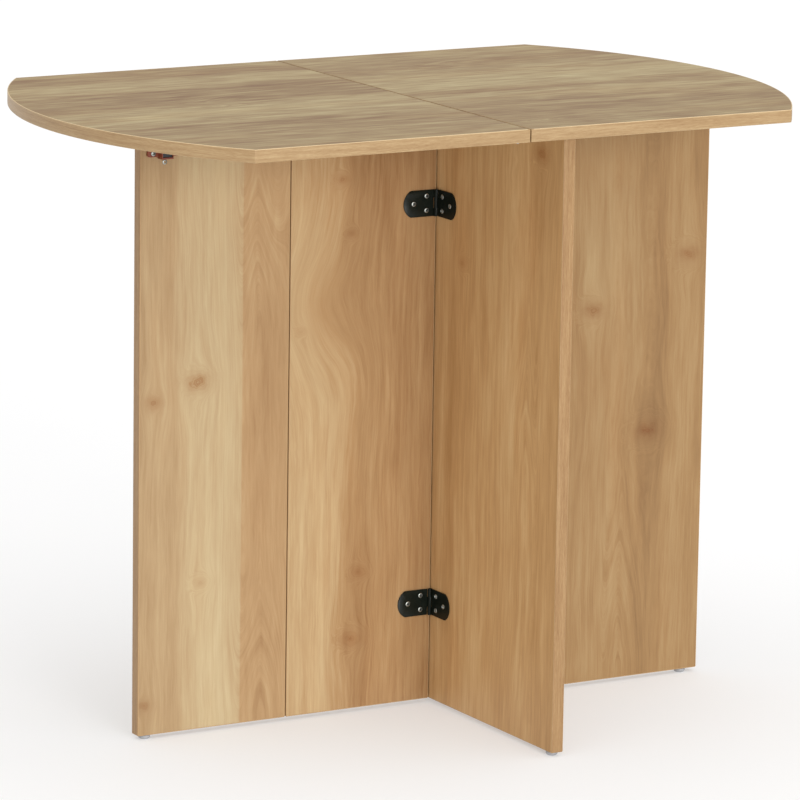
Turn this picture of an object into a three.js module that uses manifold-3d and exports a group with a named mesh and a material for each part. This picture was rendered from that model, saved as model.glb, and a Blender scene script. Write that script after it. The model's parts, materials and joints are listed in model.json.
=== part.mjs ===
// Gateleg table: a two-part top with bowed short ends on a T-shaped base of upright boards, with a
// two-board folding gate that holds up the hinged leaf.
//
// Millimetres. X runs along the table (the leaf is at -X), Y runs across it (the back is at +Y), and
// Z is up. The origin is on the floor, under the middle of the top. The seam of the top is at x = 0.

import * as THREE from 'three';
import Module from 'manifold-3d';
import { mergeVertices } from 'three/addons/utils/BufferGeometryUtils.js';

// ---------------------------------------------------------------- driving dimensions

const TABLE_HEIGHT = 745;
const TABLE_WIDTH = 596;            // across, along Y
const STRAIGHT_HALF = 352;          // seam to where the bowed end starts
const END_BOW = 101;                // how far a bowed end stands out past its corners
const BOARD = 15;                   // thickness of every board
const BAND = 1;                     // edge band thickness
const SEAM_GAP = 1.6;               // between the two halves of the top
const GLIDE_HEIGHT = 5;
const GAP = 0.3;                    // working clearance between touching pieces

const CENTRE_WIDTH = 543;           // centre panel, along Y
const CENTRE_FACE_X = 61;           // its face on the gate's side
const SPINE_END_X = 431;
const GATE_FRONT_Y = 12;            // front face of both gate boards
const GATE_END_X = -333;
const GATE_JOINT_X = -136;          // where the two gate boards meet
const GATE_JOINT_GAP = 1;
const GATE_TOP_CLEARANCE = 1.8;     // under the leaf, so the gate swings past the strike plate

const FOLD_PIN_OFFSET = 3;          // fold hinge pin, behind the gate's back face
const HINGE_SHEET = 1.2;            // thickness of the hinge leaves
const HINGE_HEIGHT = 32;            // along the pin
const HINGE_LENGTH = 43;            // corner hinge: pin to rounded end
const HINGE_END_BOW = 9.5;
const NOTCH_ROOM = 2.4;             // between a knuckle and the leaf it passes through
const HINGE_FILLET = 5;             // where the rounded end meets the straight edges
const CORNER_KNUCKLE = 2.4;         // outer radius of the corner hinges' knuckles
const FLAT_KNUCKLE = 2.7;           // and of the other hinges'
const MIDDLE_KNUCKLE = 0.39;        // part of a hinge's height that its middle knuckle takes
const PIN_RADIUS = 1.1;
const BORE_RADIUS = 1.35;
const HINGE_FROM_END = 120;         // corner hinge centres, from the ends of the panels

const FOLD_LEAF_LENGTH = 25;
const FOLD_HINGE_HEIGHT = 50;
const TOP_HINGE_Y = 245;
const TOP_LEAF_LENGTH = 28;
const TOP_HINGE_WIDTH = 50;

const SCREW_HEAD_RADIUS = 3;
const SCREW_SHANK_RADIUS = 1.7;
const SCREW_DEPTH = 11;             // from the face of the hinge leaf
const SCREW_SIDES = 12;

const BRACKET_LEG = 30;
const BRACKET_WIDTH = 18;
const BRACKET_SHEET = 1.8;

// ---------------------------------------------------------------- worked out from them

const TOP_UNDERSIDE = TABLE_HEIGHT - BOARD;
const PANEL_BOTTOM = GLIDE_HEIGHT;
const GATE_TOP = TOP_UNDERSIDE - GATE_TOP_CLEARANCE;
const CENTRE_BACK_FACE_X = CENTRE_FACE_X + BOARD;
const GATE_BACK_Y = GATE_FRONT_Y + BOARD;
const HALF_WIDTH = TABLE_WIDTH / 2;
const BOW_RADIUS = (HALF_WIDTH ** 2 + END_BOW ** 2) / (2 * END_BOW);
const CORNER_PIN = { x: CENTRE_FACE_X - GAP - CORNER_KNUCKLE, y: GATE_FRONT_Y - GAP - CORNER_KNUCKLE };
const FOLD_PIN = { x: GATE_JOINT_X, y: GATE_BACK_Y + FOLD_PIN_OFFSET };
const UPPER_HINGE_Z = TOP_UNDERSIDE - HINGE_FROM_END;
const LOWER_HINGE_Z = PANEL_BOTTOM + HINGE_FROM_END;

// ---------------------------------------------------------------- materials

function paint(color, roughness, metalness) {
  return new THREE.MeshStandardMaterial({ color, roughness, metalness });
}

const MATERIALS = {
  topPrint: paint(0xb4a27f, 0.45, 0),
  panelPrint: paint(0xc39d6b, 0.45, 0),
  edgeBand: paint(0xd2b285, 0.4, 0),
  blackPaint: paint(0x17180f, 0.35, 0.2),
  bareSteel: paint(0xb8b8b4, 0.35, 1),
  brownPlastic: paint(0x6e2f1c, 0.45, 0),
  palePlastic: paint(0xd9d6cd, 0.5, 0),
  magnetBlack: paint(0x2b2b2d, 0.6, 0),
};

// ---------------------------------------------------------------- solids and booleans

const wasm = await Module();
wasm.setup();

function toSolid(geometry) {
  const bare = geometry.clone();
  bare.deleteAttribute('normal');
  bare.deleteAttribute('uv');
  const merged = mergeVertices(bare, 1e-4);
  return new wasm.Manifold(new wasm.Mesh({
    numProp: 3,
    vertProperties: new Float32Array(merged.attributes.position.array),
    triVerts: new Uint32Array(merged.index.array),
  }));
}

function toGeometry(solid) {
  const mesh = solid.getMesh();
  const geometry = new THREE.BufferGeometry();
  geometry.setAttribute('position', new THREE.BufferAttribute(mesh.vertProperties, 3));
  geometry.setIndex(new THREE.BufferAttribute(mesh.triVerts, 1));
  geometry.computeVertexNormals();
  return geometry;
}

function cut(geometry, tools) {
  let solid = toSolid(geometry);
  for (const tool of tools) {
    solid = solid.subtract(toSolid(tool));
  }
  return toGeometry(solid);
}

function join(geometries) {
  return toGeometry(geometries.map(toSolid).reduce((sum, next) => sum.add(next)));
}

function box(x0, x1, y0, y1, z0, z1) {
  const geometry = new THREE.BoxGeometry(x1 - x0, y1 - y0, z1 - z0);
  geometry.translate((x0 + x1) / 2, (y0 + y1) / 2, (z0 + z1) / 2);
  return geometry;
}

function extrude(shape, depth, curveSegments = 12) {
  return new THREE.ExtrudeGeometry(shape, { depth, bevelEnabled: false, curveSegments });
}

// A round bar from `from` along `axis`.
function bar(from, axis, length, radius, sides = 16) {
  const geometry = new THREE.CylinderGeometry(radius, radius, length, sides);
  geometry.translate(0, length / 2, 0);
  return pointAlong(geometry, from, axis);
}

// Turns a shape built round +Y to run along `axis`, and moves it to `from`.
function pointAlong(geometry, from, axis) {
  const turn = new THREE.Quaternion().setFromUnitVectors(new THREE.Vector3(0, 1, 0), axis);
  geometry.applyQuaternion(turn);
  geometry.translate(from.x, from.y, from.z);
  return geometry;
}

const table = new THREE.Group();

function addPart(name, geometry, material) {
  const mesh = new THREE.Mesh(geometry, material);
  mesh.name = name;
  table.add(mesh);
}

const vec = (x, y, z) => new THREE.Vector3(x, y, z);
const AXIS = {
  nx: vec(-1, 0, 0),
  py: vec(0, 1, 0),
  ny: vec(0, -1, 0),
  pz: vec(0, 0, 1),
};

// ---------------------------------------------------------------- screws

// A countersunk screw: a low dome, the cone under it, and a plain shank. It is built along +Y, which
// points out of the work, with y = 0 on the face of the piece it holds.
const SCREW_DOME = 0.7;
const SCREW_CONE = 1.2;

function screwGeometry() {
  const profile = [
    new THREE.Vector2(0, -SCREW_DEPTH),
    new THREE.Vector2(SCREW_SHANK_RADIUS * 0.4, -SCREW_DEPTH),
    new THREE.Vector2(SCREW_SHANK_RADIUS, -SCREW_DEPTH + 2),
    new THREE.Vector2(SCREW_SHANK_RADIUS, -SCREW_CONE),
    new THREE.Vector2(SCREW_HEAD_RADIUS, 0),
    new THREE.Vector2(SCREW_HEAD_RADIUS * 0.7, SCREW_DOME * 0.7),
    new THREE.Vector2(0, SCREW_DOME),
  ];
  return new THREE.LatheGeometry(profile, SCREW_SIDES);
}

// The room a screw needs: a countersink and a blind hole, with clearance all round.
function screwHole(face, outward) {
  const clear = GAP * 1.2;
  const profile = [
    new THREE.Vector2(0, -SCREW_DEPTH - clear),
    new THREE.Vector2(SCREW_SHANK_RADIUS + clear, -SCREW_DEPTH - clear),
    new THREE.Vector2(SCREW_SHANK_RADIUS + clear, -SCREW_CONE),
    new THREE.Vector2(SCREW_HEAD_RADIUS + clear, 0),
    new THREE.Vector2(SCREW_HEAD_RADIUS + clear, 2),
    new THREE.Vector2(0, 2),
  ];
  return pointAlong(new THREE.LatheGeometry(profile, SCREW_SIDES), face, outward);
}

function addScrew(name, face, outward) {
  addPart(name, pointAlong(screwGeometry(), face, outward), MATERIALS.bareSteel);
}

// ---------------------------------------------------------------- the top

// Outline of one half of the top, seen from above, pulled in by `inset`. side is +1 or -1.
function halfTopOutline(side, inset) {
  const radius = BOW_RADIUS - inset;
  const centreX = side * (STRAIGHT_HALF + END_BOW - BOW_RADIUS);
  const halfWidth = HALF_WIDTH - inset;
  const seamX = side * (SEAM_GAP / 2 + inset);
  const halfAngle = Math.asin(halfWidth / radius);
  const middle = side > 0 ? 0 : Math.PI;
  const cornerX = centreX + side * radius * Math.cos(halfAngle);
  const shape = new THREE.Shape();
  shape.moveTo(seamX, -side * halfWidth);
  shape.lineTo(cornerX, -side * halfWidth);
  shape.absarc(centreX, 0, radius, middle - halfAngle, middle + halfAngle, false);
  shape.lineTo(seamX, side * halfWidth);
  shape.closePath();
  return shape;
}

const BOW_SEGMENTS = 48;

function halfTopSolid(side, inset) {
  const geometry = extrude(halfTopOutline(side, inset), BOARD, BOW_SEGMENTS);
  geometry.translate(0, 0, TOP_UNDERSIDE);
  return geometry;
}

function addHalfTop(name, side) {
  addPart(name, halfTopSolid(side, BAND + GAP / 2), MATERIALS.topPrint);
  const tall = halfTopSolid(side, BAND);
  tall.translate(0, 0, -TOP_UNDERSIDE - BOARD / 2);
  tall.scale(1, 1, 2);
  tall.translate(0, 0, TOP_UNDERSIDE + BOARD / 2);
  addPart(`${name}_band`, cut(halfTopSolid(side, 0), [tall]), MATERIALS.edgeBand);
}

// ---------------------------------------------------------------- upright panels

// An upright board: a printed core inside a closed loop of edge band. `across` is the axis the board
// is thin along. Screws that go into its faces take their holes out of the core.
function addPanel(name, bandName, bounds, across, holes) {
  const { x0, x1, y0, y1, z0, z1 } = bounds;
  const inset = BAND + GAP / 2;
  const dx = across === 'x' ? 0 : 1;
  const dy = across === 'y' ? 0 : 1;
  const core = box(
    x0 + dx * inset, x1 - dx * inset,
    y0 + dy * inset, y1 - dy * inset,
    z0 + inset, z1 - inset,
  );
  const spare = (1 - dx) * BOARD;
  const spareY = (1 - dy) * BOARD;
  const hollow = box(
    x0 + dx * BAND - spare, x1 - dx * BAND + spare,
    y0 + dy * BAND - spareY, y1 - dy * BAND + spareY,
    z0 + BAND, z1 - BAND,
  );
  addPart(name, cut(core, holes), MATERIALS.panelPrint);
  addPart(bandName, cut(box(x0, x1, y0, y1, z0, z1), [hollow]), MATERIALS.edgeBand);
}

// ---------------------------------------------------------------- hinges

// Hinges are built in their own frame: the pin along Z, leaf A along +X and leaf B along -X, both with
// their backs at y = +radius of the knuckle, and the middle at z = 0.
// A leaf's outline goes from the pin out to its end, which is bowed by `bow` and has filleted corners.
function leafOutline(length, height, bow) {
  const half = height / 2;
  const shape = new THREE.Shape();
  shape.moveTo(0, -half);
  if (bow > 0) {
    const radius = (half ** 2 + bow ** 2) / (2 * bow);
    const middle = length - radius;
    const filletY = half - HINGE_FILLET;
    const filletX = middle + Math.sqrt((radius - HINGE_FILLET) ** 2 - filletY ** 2);
    const angle = Math.atan2(filletY, filletX - middle);
    shape.lineTo(filletX, -half);
    shape.absarc(filletX, -filletY, HINGE_FILLET, -Math.PI / 2, -angle, false);
    shape.absarc(middle, 0, radius, -angle, angle, false);
    shape.absarc(filletX, filletY, HINGE_FILLET, angle, Math.PI / 2, false);
  } else {
    shape.lineTo(length, -half);
    shape.lineTo(length, half);
  }
  shape.lineTo(0, half);
  shape.closePath();
  return shape;
}

// spans: the stretches of knuckle, [from, to] along the pin, that belong to this leaf.
// others: the stretches that belong to the other leaf, where this one is notched.
function hingeLeaf({ length, height, bow, radius, spans, others, screws }) {
  const sheet = extrude(leafOutline(length, height, bow), HINGE_SHEET, 8);
  sheet.rotateX(Math.PI / 2);
  sheet.translate(0, radius, 0);
  const knuckles = spans.map(([low, high]) => bar(vec(0, 0, low), AXIS.pz, high - low, radius));
  const notch = radius + NOTCH_ROOM;
  const notches = others.map(([low, high]) => box(-notch, notch, -notch, notch, low - GAP, high + GAP));
  const bore = bar(vec(0, 0, -height), AXIS.pz, 2 * height, BORE_RADIUS);
  const holes = screws.map(([x, z]) => screwHole(vec(x, radius - HINGE_SHEET, z), AXIS.ny));
  return cut(join([sheet, ...knuckles]), [...notches, bore, ...holes]);
}

// Three stretches of knuckle: the middle one for one leaf, the two ends for the other.
function knuckleSpans(height) {
  const half = height / 2;
  const middle = half * MIDDLE_KNUCKLE;
  const play = GAP / 2;
  return {
    middle: [[-middle + play, middle - play]],
    ends: [[-half, -middle - play], [middle + play, half]],
  };
}

// Places geometry from a hinge's own frame: `turn` about the pin, and the pin's middle at `at`.
function placeUpright(geometry, turn, at) {
  geometry.rotateZ(turn);
  geometry.translate(at.x, at.y, at.z);
  return geometry;
}

// ---------------------------------------------------------------- corner hinges

const CORNER_SCREWS = [[12, 8.6], [12, -8.6], [29.5, 0]];   // from the pin, and above the middle
const SCREW_PLACES = ['top', 'bottom', 'end'];

function addCornerHinge(where, z, middleOnPanel) {
  const spans = knuckleSpans(HINGE_HEIGHT);
  const shape = { length: HINGE_LENGTH, height: HINGE_HEIGHT, bow: HINGE_END_BOW, radius: CORNER_KNUCKLE };
  const panelSpans = middleOnPanel ? spans.middle : spans.ends;
  const gateSpans = middleOnPanel ? spans.ends : spans.middle;
  const at = vec(CORNER_PIN.x, CORNER_PIN.y, z);
  const name = `corner_hinge_${where}`;

  const gateLeaf = hingeLeaf({ ...shape, spans: gateSpans, others: panelSpans, screws: CORNER_SCREWS });
  gateLeaf.scale(-1, 1, 1);
  flipFaces(gateLeaf);
  addPart(`${name}_gate_leaf`, placeUpright(gateLeaf, 0, at), MATERIALS.blackPaint);

  const panelLeaf = hingeLeaf({ ...shape, spans: panelSpans, others: gateSpans, screws: CORNER_SCREWS });
  addPart(`${name}_panel_leaf`, placeUpright(panelLeaf, -Math.PI / 2, at), MATERIALS.blackPaint);

  const pinFrom = vec(at.x, at.y, z - HINGE_HEIGHT / 2 - 0.4);
  addPart(`${name}_pin`, bar(pinFrom, AXIS.pz, HINGE_HEIGHT + 0.8, PIN_RADIUS), MATERIALS.bareSteel);

  CORNER_SCREWS.forEach(([x, dz], i) => {
    const gate = gateScrewFace(x, z + dz);
    const panel = panelScrewFace(x, z + dz);
    addScrew(`screw_${where}_gate_${SCREW_PLACES[i]}`, gate, AXIS.ny);
    addScrew(`screw_${where}_panel_${SCREW_PLACES[i]}`, panel, AXIS.nx);
  });
}

function flipFaces(geometry) {
  const index = geometry.index.array;
  for (let i = 0; i < index.length; i += 3) {
    [index[i], index[i + 1]] = [index[i + 1], index[i]];
  }
  geometry.computeVertexNormals();
}

const leafFace = CORNER_KNUCKLE - HINGE_SHEET;
const gateScrewFace = (x, z) => vec(CORNER_PIN.x - x, CORNER_PIN.y + leafFace, z);
const panelScrewFace = (x, z) => vec(CORNER_PIN.x + leafFace, CORNER_PIN.y - x, z);

function cornerHoles(face, outward) {
  const holes = [];
  for (const z of [UPPER_HINGE_Z, LOWER_HINGE_Z]) {
    for (const [x, dz] of CORNER_SCREWS) {
      holes.push(screwHole(face(x, z + dz), outward));
    }
  }
  return holes;
}

// ---------------------------------------------------------------- hinges out of sight

// Over the joint of the gate's two boards, on their backs. The leaves lie flat on the boards.
function addFoldHinge(where, z) {
  const spans = knuckleSpans(FOLD_HINGE_HEIGHT);
  const size = { length: FOLD_LEAF_LENGTH, height: FOLD_HINGE_HEIGHT };
  const shape = { ...size, bow: 0, radius: FLAT_KNUCKLE, screws: [] };
  const at = vec(FOLD_PIN.x, FOLD_PIN.y, z);
  const name = `fold_hinge_${where}`;
  const outer = hingeLeaf({ ...shape, spans: spans.middle, others: spans.ends });
  addPart(`${name}_outer_leaf`, placeUpright(outer, Math.PI, at), MATERIALS.bareSteel);
  const inner = hingeLeaf({ ...shape, spans: spans.ends, others: spans.middle });
  inner.scale(-1, 1, 1);
  flipFaces(inner);
  addPart(`${name}_inner_leaf`, placeUpright(inner, Math.PI, at), MATERIALS.bareSteel);
  const from = vec(at.x, at.y, z - FOLD_HINGE_HEIGHT / 2 - 0.4);
  addPart(`${name}_pin`, bar(from, AXIS.pz, FOLD_HINGE_HEIGHT + 0.8, PIN_RADIUS), MATERIALS.bareSteel);
}

// Under the seam of the top. The pin runs along Y and the leaves lie flat on the boards' undersides.
const TOP_PIN_Z = TOP_UNDERSIDE - GAP - FLAT_KNUCKLE;

function addTopHinge(where, y) {
  const spans = knuckleSpans(TOP_HINGE_WIDTH);
  const size = { length: TOP_LEAF_LENGTH, height: TOP_HINGE_WIDTH };
  const shape = { ...size, bow: 0, radius: FLAT_KNUCKLE, screws: [] };
  const name = `top_hinge_${where}`;
  const place = (geometry) => {
    geometry.rotateX(Math.PI / 2);
    geometry.translate(0, y, TOP_PIN_Z);
    return geometry;
  };
  const fixed = hingeLeaf({ ...shape, spans: spans.ends, others: spans.middle });
  addPart(`${name}_fixed_leaf`, place(fixed), MATERIALS.bareSteel);
  const drop = hingeLeaf({ ...shape, spans: spans.middle, others: spans.ends });
  drop.scale(-1, 1, 1);
  flipFaces(drop);
  addPart(`${name}_drop_leaf`, place(drop), MATERIALS.bareSteel);
  const from = vec(0, y - TOP_HINGE_WIDTH / 2 - 0.4, TOP_PIN_Z);
  addPart(`${name}_pin`, bar(from, AXIS.py, TOP_HINGE_WIDTH + 0.8, PIN_RADIUS), MATERIALS.bareSteel);
}

// ---------------------------------------------------------------- brackets

// A steel angle in its own frame: one leg lies along +X under z = 0, the other runs down from it.
function angleBracket() {
  const shape = new THREE.Shape();
  shape.moveTo(0, 0);
  shape.lineTo(BRACKET_LEG, 0);
  shape.lineTo(BRACKET_LEG, -BRACKET_SHEET);
  shape.lineTo(BRACKET_SHEET, -BRACKET_SHEET);
  shape.lineTo(BRACKET_SHEET, -BRACKET_LEG);
  shape.lineTo(0, -BRACKET_LEG);
  shape.closePath();
  const geometry = extrude(shape, BRACKET_WIDTH);
  geometry.translate(0, 0, -BRACKET_WIDTH / 2);
  geometry.rotateX(Math.PI / 2);
  return geometry;
}

// Under the top, with its leg down the face at (x, y) that looks along `heading` (radians from +X).
function addTopBracket(name, x, y, heading) {
  const geometry = angleBracket();
  geometry.translate(GAP, 0, 0);
  geometry.rotateZ(heading);
  geometry.translate(x, y, TOP_UNDERSIDE - GAP);
  addPart(name, geometry, MATERIALS.bareSteel);
}

// In the corner behind the spine panel, with one leg on it and one on the centre panel.
function addSpineBracket(name, z) {
  const geometry = angleBracket();
  geometry.rotateX(-Math.PI / 2);
  geometry.rotateX(Math.PI);
  geometry.translate(CENTRE_BACK_FACE_X + GAP, BOARD / 2 + GAP, z);
  addPart(name, geometry, MATERIALS.bareSteel);
}

// ---------------------------------------------------------------- glides

const GLIDE_RADIUS = 7;
const GLIDE_FLAT_RADIUS = 4.5;
const GLIDE_SIDES = 20;

function addGlide(name, x, y) {
  const profile = [
    new THREE.Vector2(0, 0),
    new THREE.Vector2(GLIDE_FLAT_RADIUS, 0),
    new THREE.Vector2(GLIDE_RADIUS * 0.88, GLIDE_HEIGHT * 0.25),
    new THREE.Vector2(GLIDE_RADIUS, GLIDE_HEIGHT * 0.6),
    new THREE.Vector2(GLIDE_RADIUS, GLIDE_HEIGHT - GAP),
    new THREE.Vector2(0, GLIDE_HEIGHT - GAP),
  ];
  const turned = new THREE.LatheGeometry(profile, GLIDE_SIDES);
  addPart(name, pointAlong(turned, vec(x, y, 0), AXIS.pz), MATERIALS.palePlastic);
}

// ---------------------------------------------------------------- magnetic catch

const CATCH_X = -303.9;             // middle of the catch, along the outer gate board
const CATCH_BODY_WIDTH = 15;
const CATCH_BODY_DEPTH = 12;        // how far it stands out from the board
const CATCH_BOTTOM = 687.7;
const CATCH_TOP = 726.2;
const CATCH_FLANGE = 14;
const CATCH_FLANGE_SHEET = 3;
const CATCH_FLANGE_HEIGHT = 26;
const CATCH_SCREW_OFFSET = 14;
const CATCH_SCREW_Z = 693.7;
const STOP_SCREW = { x: -301.7, z: 682.7 };
const POCKET_WIDTH = 10;            // of the hollow that holds the magnet
const POCKET_DEPTH = 7;
const POCKET_HEIGHT = 22;
const POLE_SHEET = 1.2;
const POLE_PROUD = 0.8;             // how far the poles stand above the catch body
const STRIKE_THICKNESS = 1;

const CATCH_BACK_Y = GATE_FRONT_Y - GAP;
const CATCH_FRONT_Y = GATE_FRONT_Y - CATCH_BODY_DEPTH;
const CATCH_MIDDLE_Y = (CATCH_BACK_Y + CATCH_FRONT_Y) / 2;
const FLANGE_FACE_Y = CATCH_BACK_Y - CATCH_FLANGE_SHEET;

function roundedRectangle(width, height, radius) {
  const shape = new THREE.Shape();
  const x = width / 2 - radius;
  const y = height / 2 - radius;
  shape.absarc(x, -y, radius, -Math.PI / 2, 0, false);
  shape.absarc(x, y, radius, 0, Math.PI / 2, false);
  shape.absarc(-x, y, radius, Math.PI / 2, Math.PI, false);
  shape.absarc(-x, -y, radius, Math.PI, Math.PI * 1.5, false);
  shape.closePath();
  return shape;
}

function addCatch() {
  const flangeWidth = CATCH_BODY_WIDTH + 2 * CATCH_FLANGE;
  const flange = extrude(roundedRectangle(flangeWidth, CATCH_FLANGE_HEIGHT, 3), CATCH_FLANGE_SHEET, 4);
  flange.rotateX(Math.PI / 2);
  flange.translate(CATCH_X, CATCH_BACK_Y, CATCH_BOTTOM + 1 + CATCH_FLANGE_HEIGHT / 2);
  const half = CATCH_BODY_WIDTH / 2;
  const block = box(CATCH_X - half, CATCH_X + half, CATCH_FRONT_Y, CATCH_BACK_Y, CATCH_BOTTOM, CATCH_TOP);
  const pocket = box(
    CATCH_X - POCKET_WIDTH / 2, CATCH_X + POCKET_WIDTH / 2,
    CATCH_MIDDLE_Y - POCKET_DEPTH / 2, CATCH_MIDDLE_Y + POCKET_DEPTH / 2,
    CATCH_TOP - POCKET_HEIGHT, CATCH_TOP + 5,
  );
  const [left, right] = [-1, 1].map((side) => (
    vec(CATCH_X + side * CATCH_SCREW_OFFSET, FLANGE_FACE_Y, CATCH_SCREW_Z)
  ));
  const stop = vec(STOP_SCREW.x, GATE_FRONT_Y - GAP, STOP_SCREW.z);
  const holes = [left, right].map((face) => screwHole(face, AXIS.ny));
  addPart('catch_body', cut(join([flange, block]), [pocket, ...holes]), MATERIALS.brownPlastic);
  addScrew('screw_catch_left', left, AXIS.ny);
  addScrew('screw_catch_right', right, AXIS.ny);
  addScrew('catch_stop_screw', stop, AXIS.ny);
  return [left, right, stop].map((face) => screwHole(face, AXIS.ny));
}

// A steel U in the catch's pocket, with the magnet between its two poles.
function addMagnet() {
  const outer = POCKET_WIDTH / 2 - GAP;
  const depth = POCKET_DEPTH / 2 - GAP;
  const bottom = CATCH_TOP - POCKET_HEIGHT + GAP;
  const top = CATCH_TOP + POLE_PROUD;
  const block = box(
    CATCH_X - outer, CATCH_X + outer,
    CATCH_MIDDLE_Y - depth, CATCH_MIDDLE_Y + depth,
    bottom, top,
  );
  const inner = outer - POLE_SHEET;
  const room = box(
    CATCH_X - inner, CATCH_X + inner,
    CATCH_MIDDLE_Y - POCKET_DEPTH, CATCH_MIDDLE_Y + POCKET_DEPTH,
    bottom + POLE_SHEET, top + 5,
  );
  addPart('catch_yoke', cut(block, [room]), MATERIALS.bareSteel);
  const play = inner - GAP;
  addPart('catch_magnet', box(
    CATCH_X - play, CATCH_X + play,
    CATCH_MIDDLE_Y - depth, CATCH_MIDDLE_Y + depth,
    bottom + POLE_SHEET + GAP, CATCH_TOP - 1,
  ), MATERIALS.magnetBlack);
}

function addStrikePlate() {
  const plate = extrude(roundedRectangle(22, 11, 2), STRIKE_THICKNESS, 4);
  plate.translate(CATCH_X, CATCH_MIDDLE_Y, TOP_UNDERSIDE - GAP - STRIKE_THICKNESS);
  addPart('strike_plate', plate, MATERIALS.bareSteel);
}

// ---------------------------------------------------------------- the whole table

addHalfTop('fixed_top', 1);
addHalfTop('drop_leaf', -1);

const catchHoles = addCatch();
addMagnet();
addStrikePlate();

addPanel('centre_panel', 'centre_panel_band', {
  x0: CENTRE_FACE_X, x1: CENTRE_BACK_FACE_X,
  y0: -CENTRE_WIDTH / 2, y1: CENTRE_WIDTH / 2,
  z0: PANEL_BOTTOM, z1: TOP_UNDERSIDE - GAP,
}, 'x', cornerHoles(panelScrewFace, AXIS.nx));

addPanel('spine_panel', 'spine_panel_band', {
  x0: CENTRE_BACK_FACE_X + GAP, x1: SPINE_END_X,
  y0: -BOARD / 2, y1: BOARD / 2,
  z0: PANEL_BOTTOM, z1: TOP_UNDERSIDE - GAP,
}, 'y', []);

addPanel('gate_inner_panel', 'gate_inner_band', {
  x0: GATE_JOINT_X + GATE_JOINT_GAP / 2, x1: CENTRE_FACE_X - GATE_JOINT_GAP,
  y0: GATE_FRONT_Y, y1: GATE_BACK_Y,
  z0: PANEL_BOTTOM, z1: GATE_TOP,
}, 'y', cornerHoles(gateScrewFace, AXIS.ny));

addPanel('gate_outer_panel', 'gate_outer_band', {
  x0: GATE_END_X, x1: GATE_JOINT_X - GATE_JOINT_GAP / 2,
  y0: GATE_FRONT_Y, y1: GATE_BACK_Y,
  z0: PANEL_BOTTOM, z1: GATE_TOP,
}, 'y', catchHoles);

addCornerHinge('upper', UPPER_HINGE_Z, true);
addCornerHinge('lower', LOWER_HINGE_Z, false);
addFoldHinge('upper', UPPER_HINGE_Z);
addFoldHinge('lower', LOWER_HINGE_Z);
addTopHinge('front', -TOP_HINGE_Y);
addTopHinge('back', TOP_HINGE_Y);

addTopBracket('top_bracket_centre_front', CENTRE_BACK_FACE_X, -CENTRE_WIDTH / 3, 0);
addTopBracket('top_bracket_centre_back', CENTRE_BACK_FACE_X, CENTRE_WIDTH / 3, 0);
addTopBracket('top_bracket_spine_front', (CENTRE_FACE_X + SPINE_END_X) * 0.6, -BOARD / 2, -Math.PI / 2);
addTopBracket('top_bracket_spine_back', (CENTRE_FACE_X + SPINE_END_X) * 0.6, BOARD / 2, Math.PI / 2);
addSpineBracket('spine_bracket_upper', UPPER_HINGE_Z);
addSpineBracket('spine_bracket_lower', LOWER_HINGE_Z);

const GLIDE_FROM_END = 12.5;
const SPINE_GLIDE_FROM_END = 19.5;
addGlide('glide_centre_front', CENTRE_FACE_X + BOARD / 2, -CENTRE_WIDTH / 2 + GLIDE_FROM_END);
addGlide('glide_centre_back', CENTRE_FACE_X + BOARD / 2, CENTRE_WIDTH / 2 - GLIDE_FROM_END);
addGlide('glide_spine', SPINE_END_X - SPINE_GLIDE_FROM_END, 0);
addGlide('glide_gate', GATE_END_X + GLIDE_FROM_END, GATE_FRONT_Y + BOARD / 2);

export default table;
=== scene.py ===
"""Gateleg table: the looks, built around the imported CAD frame. Metres, same frame as the CAD."""

import json
import math

import bmesh
import bpy
from mathutils import Euler, Matrix, Vector

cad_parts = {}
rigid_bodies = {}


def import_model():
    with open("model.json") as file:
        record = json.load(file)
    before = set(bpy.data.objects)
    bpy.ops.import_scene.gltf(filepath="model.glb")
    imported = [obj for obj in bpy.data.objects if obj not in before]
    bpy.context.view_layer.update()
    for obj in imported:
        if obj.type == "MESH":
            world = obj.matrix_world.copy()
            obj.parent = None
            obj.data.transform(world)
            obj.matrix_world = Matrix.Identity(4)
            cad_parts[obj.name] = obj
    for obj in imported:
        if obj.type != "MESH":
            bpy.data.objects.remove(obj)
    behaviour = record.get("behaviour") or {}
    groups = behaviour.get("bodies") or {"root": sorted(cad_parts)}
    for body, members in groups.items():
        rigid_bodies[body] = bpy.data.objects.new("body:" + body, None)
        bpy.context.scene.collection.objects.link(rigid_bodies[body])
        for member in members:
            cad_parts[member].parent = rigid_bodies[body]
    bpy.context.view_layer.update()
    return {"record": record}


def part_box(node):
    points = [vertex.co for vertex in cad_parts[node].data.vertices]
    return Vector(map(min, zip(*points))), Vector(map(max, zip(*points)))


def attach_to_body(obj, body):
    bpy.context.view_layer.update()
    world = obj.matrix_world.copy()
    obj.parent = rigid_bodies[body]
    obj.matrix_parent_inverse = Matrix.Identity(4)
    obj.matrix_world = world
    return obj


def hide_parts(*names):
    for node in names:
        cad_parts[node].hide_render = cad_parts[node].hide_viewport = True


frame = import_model()

MM = 0.001

# ---------- driving dimensions

BOARD = 15.0 * MM               # board thickness
BAND = 1.0 * MM                 # edge band thickness
BAND_ROUND = 0.7 * MM           # radius of the band's long arrises
BAND_GROOVE = 0.09 * MM         # the fine line where band and print meet
ARRIS_HIGHLIGHT_WIDTH = 1.5 * MM          # width of the painted highlight along the band's long arrises, measured round the band
CORNER_ROUND = 1.6 * MM         # radius of an upright board's corners
SEAM_CORNER_ROUND = 0.7 * MM    # plan radius of the top's corners at its seam
BOW_CORNER_ROUND = 3.0 * MM     # plan radius where a straight side meets a bowed end
END_BOW = 101.0 * MM            # how far a bowed end stands out past its corners
BOW_STEPS = 72

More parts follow.
